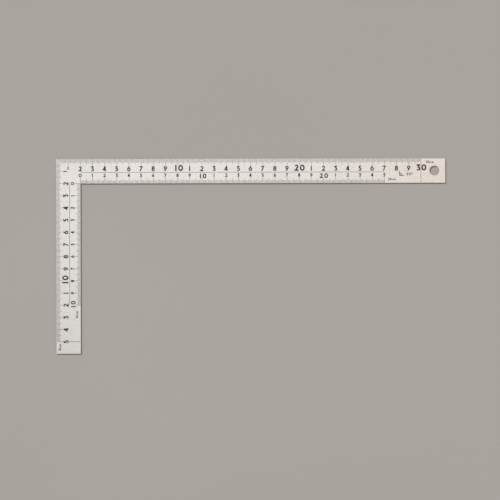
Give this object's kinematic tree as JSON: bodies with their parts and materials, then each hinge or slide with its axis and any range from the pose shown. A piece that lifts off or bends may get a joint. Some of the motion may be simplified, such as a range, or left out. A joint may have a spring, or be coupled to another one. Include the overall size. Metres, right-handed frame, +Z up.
{
  "type": "steel square ruler",
  "caption": "Flat L-shaped satin steel square with graduated arms, for marking right angles and lengths, and a hang hole in the long arm.",
  "frame": {"origin": "on the underside, where the centre lines of the two arms cross, 10 mm in from both outer edges", "axes": "+X along the long arm, -Y along the short arm, +Z up out of the graduated face"},
  "size_m": [0.32, 0.16, 0.001],
  "materials": {
    "satin_steel": "satin, fine pear-skin grain with no direction, edges slightly brighter",
    "mark_paint": "semi-matte black paint filling the etched graduations and numerals"
  },
  "bodies": {
    "root": {"square_blade": "satin_steel"}
  },
  "joints": []
}
